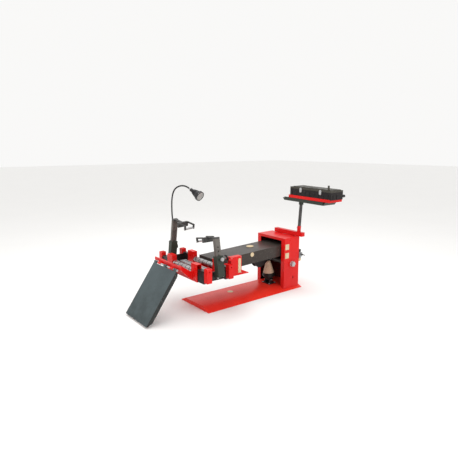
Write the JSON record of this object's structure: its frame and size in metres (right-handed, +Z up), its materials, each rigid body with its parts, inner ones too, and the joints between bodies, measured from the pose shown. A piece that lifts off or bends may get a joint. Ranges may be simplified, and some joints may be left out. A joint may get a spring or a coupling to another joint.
{
  "type": "truck tyre spreader",
  "caption": "Floor-standing truck tyre spreader: pan and tower, pivoting lift arm, tyre rollers, sliding bead hooks, folding loading ramp, gooseneck lamp and tool tray on a post.",
  "frame": {"origin": "on the floor, straight below the axis of the tyre that the rollers carry, at the machine's middle plane", "axes": "+X along the lift arm towards the tower, -Y towards the operator's side with the levers, +Z up"},
  "size_m": [1.7812, 1.0464, 1.0271],
  "materials": {
    "red_paint": "glossy red enamel",
    "black_paint": "satin black enamel",
    "arm_paint": "worn dark grey enamel",
    "green_paint": "satin grey-green enamel",
    "olive_paint": "satin olive-grey enamel",
    "ramp_paint": "worn blue-grey enamel",
    "bar_steel": "plain milled steel",
    "bright_steel": "bright turned steel",
    "dark_steel": "blackened steel",
    "bronze": "turned bronze",
    "pale_rubber": "cream moulded rubber",
    "black_rubber": "black rubber",
    "black_plastic": "moulded black plastic",
    "pale_plastic": "cream moulded plastic",
    "alloy": "cast alloy",
    "lens_glass": "clear moulded glass"
  },
  "bodies": {
    "base": {"base_pan": "red_paint", "pan_feet": "black_rubber", "blank_labels": "pale_plastic", "tower_housing": "red_paint", "pivot_pin": "bright_steel", "pivot_nuts": "bright_steel", "rail_bar": "red_paint", "post_socket": "red_paint", "lift_clevis": "black_paint", "clevis_pin": "bright_steel", "filter_head": "alloy", "filter_bowl": "pale_plastic"},
    "socket_screw": {"socket_screw": "black_plastic"},
    "regulator": {"regulator_knob": "black_plastic"},
    "shutoff": {"shutoff_lever": "black_plastic"},
    "lift_cylinder": {"lift_chamber": "black_paint", "lift_boot": "pale_rubber"},
    "lift_ram": {"lift_rod": "bright_steel"},
    "arm": {"lift_arm": "arm_paint", "arm_bushes": "bronze", "arm_lug": "black_paint", "lug_pin": "bright_steel", "arm_caps": "pale_plastic", "carriage_frame": "red_paint", "front_bar": "red_paint", "roller_axles": "bright_steel", "spread_barrel": "alloy", "valve_bracket": "red_paint", "control_box": "red_paint", "ramp_pin": "bright_steel"},
    "ramp": {"ramp_plate": "ramp_paint"},
    "left_roller": {"left_roller": "bright_steel"},
    "right_roller": {"right_roller": "bright_steel"},
    "lift_lever": {"lift_lever": "black_plastic"},
    "spread_lever": {"spread_lever": "black_plastic"},
    "near_head": {"near_crosshead": "black_paint", "near_blocks": "red_paint", "near_holder": "green_paint", "near_rod": "bright_steel"},
    "near_clamp": {"near_clamp": "bright_steel"},
    "near_bar": {"near_bar": "bar_steel"},
    "near_hook": {"near_hook": "dark_steel"},
    "near_hook_roller": {"near_hook_roller": "bright_steel"},
    "far_head": {"far_crosshead": "black_paint", "far_blocks": "red_paint", "far_holder": "green_paint", "far_rod": "bright_steel", "lamp_neck": "black_rubber"},
    "far_clamp": {"far_clamp": "bright_steel"},
    "far_bar": {"far_bar": "bar_steel"},
    "far_hook": {"far_hook": "dark_steel"},
    "far_hook_roller": {"far_hook_roller": "bright_steel"},
    "lamp_head": {"lamp_shade": "black_plastic", "lamp_lens": "lens_glass"},
    "post": {"tray_post": "dark_steel"},
    "tray": {"tray_pan": "green_paint", "tray_rim": "red_paint", "toolbox_body": "black_paint"},
    "lid": {"toolbox_lid": "olive_paint"},
    "box_knob": {"box_knob": "black_plastic"}
  },
  "joints": [
    {"name": "arm_lift", "type": "hinge", "parent": "base", "child": "arm", "pos_m": [0.99, 0, 0.25], "axis": [0, 1, 0], "range_deg": [-13.5, 0]},
    {"name": "ramp_fold", "type": "hinge", "parent": "arm", "child": "ramp", "pos_m": [-0.276, 0, 0.408], "axis": [0, 1, 0], "range_deg": [0, 60.5]},
    {"name": "lift_tilt", "type": "hinge", "parent": "base", "child": "lift_cylinder", "pos_m": [0.87, 0, 0.075], "axis": [0, 1, 0], "range_deg": [-2.8, 0.2]},
    {"name": "lift_stroke", "type": "slide", "parent": "lift_cylinder", "child": "lift_ram", "axis": [-0.069, 0, 0.9976], "range_m": [-0.0332, 0.0005], "deforming": ["lift_boot"]},
    {"name": "left_roller_spin", "type": "hinge", "parent": "arm", "child": "left_roller", "pos_m": [-0.1055, 0, 0.374], "axis": [0, 1, 0], "continuous": true},
    {"name": "right_roller_spin", "type": "hinge", "parent": "arm", "child": "right_roller", "pos_m": [0.1055, 0, 0.374], "axis": [0, 1, 0], "continuous": true},
    {"name": "lift_lever_tilt", "type": "hinge", "parent": "arm", "child": "lift_lever", "pos_m": [0.132, -0.308, 0.458], "axis": [0, 1, 0], "range_deg": [-20, 20], "stiffness_Nm_per_rad": 0.6},
    {"name": "spread_lever_tilt", "type": "hinge", "parent": "arm", "child": "spread_lever", "pos_m": [0.132, -0.292, 0.458], "axis": [0, 1, 0], "range_deg": [-20, 20], "stiffness_Nm_per_rad": 0.6},
    {"name": "near_spread", "type": "slide", "parent": "arm", "child": "near_head", "axis": [0, -1, 0], "range_m": [-0.08, 0.06]},
    {"name": "far_spread", "type": "slide", "parent": "arm", "child": "far_head", "axis": [0, 1, 0], "range_m": [-0.08, 0.06]},
    {"name": "near_clamp_turn", "type": "hinge", "parent": "near_head", "child": "near_clamp", "pos_m": [0, -0.36834, 0.49287], "axis": [0, -0.9848, 0.1736], "range_deg": [0, 330]},
    {"name": "near_bar_height", "type": "slide", "parent": "near_head", "child": "near_bar", "axis": [0, 0.1736, 0.9848], "range_m": [-0.03, 0.064]},
    {"name": "near_hook_swing", "type": "hinge", "parent": "near_bar", "child": "near_hook", "pos_m": [0, -0.31756, 0.64841], "axis": [0, 0.1736, 0.9848], "range_deg": [-90, 90]},
    {"name": "near_hook_roller_spin", "type": "hinge", "parent": "near_hook", "child": "near_hook_roller", "pos_m": [0, -0.12303, 0.59989], "axis": [1, 0, 0], "continuous": true},
    {"name": "far_clamp_turn", "type": "hinge", "parent": "far_head", "child": "far_clamp", "pos_m": [0, 0.36834, 0.49287], "axis": [0, 0.9848, 0.1736], "range_deg": [0, 330]},
    {"name": "far_bar_height", "type": "slide", "parent": "far_head", "child": "far_bar", "axis": [0, -0.1736, 0.9848], "range_m": [-0.094, 0]},
    {"name": "far_hook_swing", "type": "hinge", "parent": "far_bar", "child": "far_hook", "pos_m": [0, 0.30645, 0.71144], "axis": [0, -0.1736, 0.9848], "range_deg": [-90, 90]},
    {"name": "far_hook_roller_spin", "type": "hinge", "parent": "far_hook", "child": "far_hook_roller", "pos_m": [0.02783, 0.11383, 0.66326], "axis": [0.9903, 0.1371, 0.0242], "continuous": true},
    {"name": "lamp_swivel", "type": "hinge", "parent": "far_head", "child": "lamp_head", "pos_m": [0.046, 0.118, 1], "axis": [0.9703, 0.2419, 0], "range_deg": [-35, 35]},
    {"name": "post_height", "type": "slide", "parent": "base", "child": "post", "axis": [0, -0.0698, 0.9976], "range_m": [0, 0.06]},
    {"name": "tray_swing", "type": "hinge", "parent": "post", "child": "tray", "pos_m": [1.089, -0.1946, 0.83021], "axis": [0, -0.0698, 0.9976], "range_deg": [-90, 90]},
    {"name": "lid_hinge", "type": "hinge", "parent": "tray", "child": "lid", "pos_m": [1.176, -0.40706, 0.9665], "axis": [0, 0.9998, 0.0175], "range_deg": [0, 105]},
    {"name": "box_knob_turn", "type": "hinge", "parent": "tray", "child": "box_knob", "pos_m": [1.1705, -0.58232, 0.92243], "axis": [1, 0, 0], "range_deg": [-90, 90]},
    {"name": "socket_screw_turn", "type": "hinge", "parent": "base", "child": "socket_screw", "pos_m": [1.10778, -0.15291, 0.57851], "axis": [0.6157, 0.7861, 0.055], "range_deg": [0, 330]},
    {"name": "regulator_turn", "type": "hinge", "parent": "base", "child": "regulator", "pos_m": [1.114, -0.165, 0.348], "axis": [0, 0, 1], "range_deg": [-130, 130]},
    {"name": "shutoff_turn", "type": "hinge", "parent": "base", "child": "shutoff", "pos_m": [1.114, -0.203, 0.325], "axis": [0, -1, 0], "range_deg": [0, 90]}
  ],
  "couplings": [
    {"joint": "ramp_fold", "follows": "arm_lift", "ratio": -4.42},
    {"joint": "lift_tilt", "follows": "arm_lift", "ratio": 0.191},
    {"joint": "lift_stroke", "follows": "arm_lift", "m_per_rad": 0.1358},
    {"joint": "far_spread", "follows": "near_spread", "ratio": 1}
  ]
}
